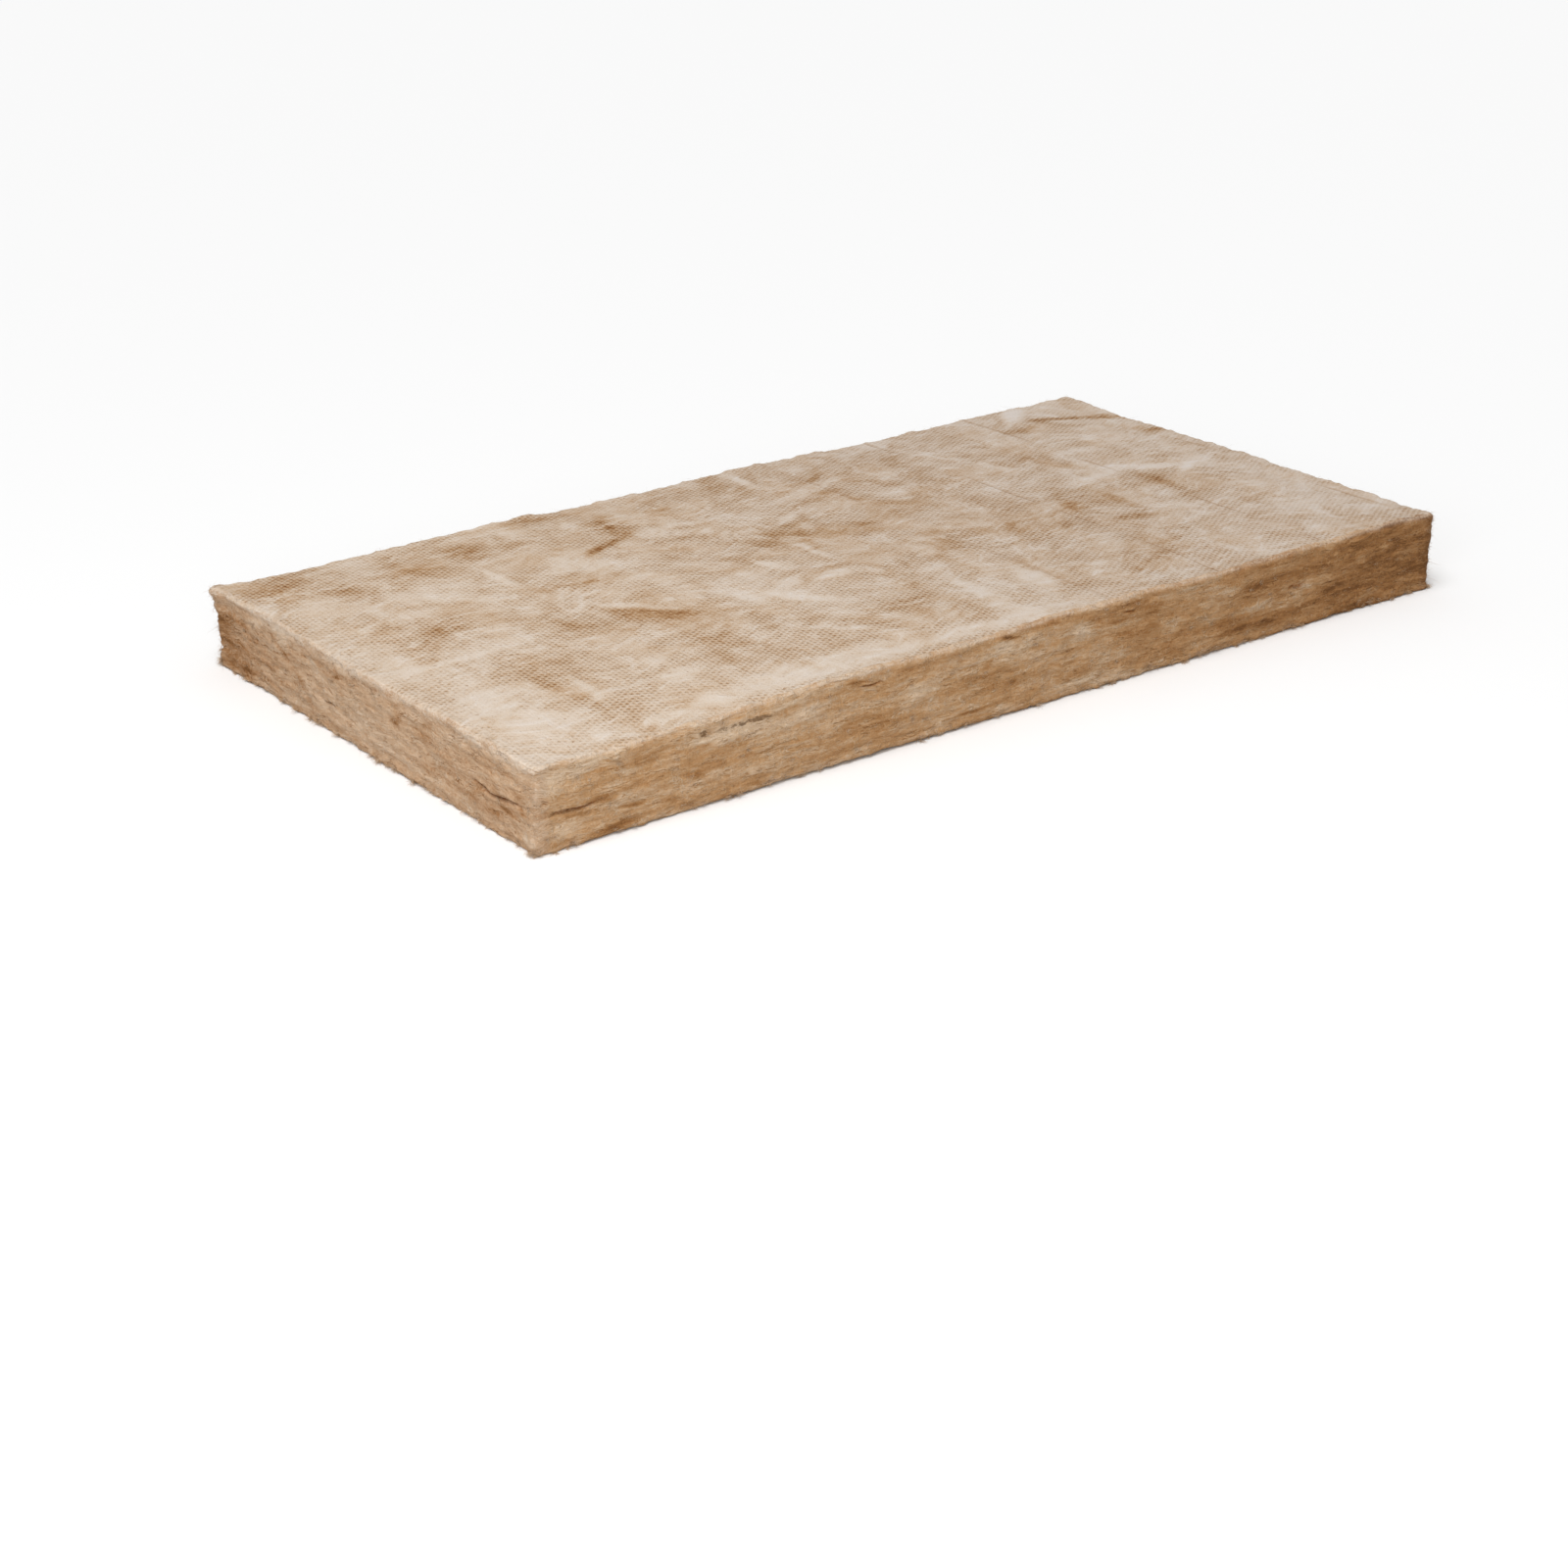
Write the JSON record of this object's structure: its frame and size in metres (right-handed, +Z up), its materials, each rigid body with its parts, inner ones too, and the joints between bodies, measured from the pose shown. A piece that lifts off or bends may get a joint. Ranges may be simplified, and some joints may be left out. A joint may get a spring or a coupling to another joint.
{
  "type": "insulation batt",
  "caption": "Unfaced rectangular slab of bonded glass wool for filling the space between joists or studs, with soft rims and layered, slightly split edges.",
  "frame": {"origin": "middle of the underside", "axes": "+X along the length, +Y across the width, +Z up through the thickness"},
  "size_m": [1.2, 0.6, 0.086],
  "materials": {
    "wool": "matte, mottled tan and brown fibre mat with layered edges"
  },
  "bodies": {
    "root": {"batt": "wool"}
  },
  "joints": []
}
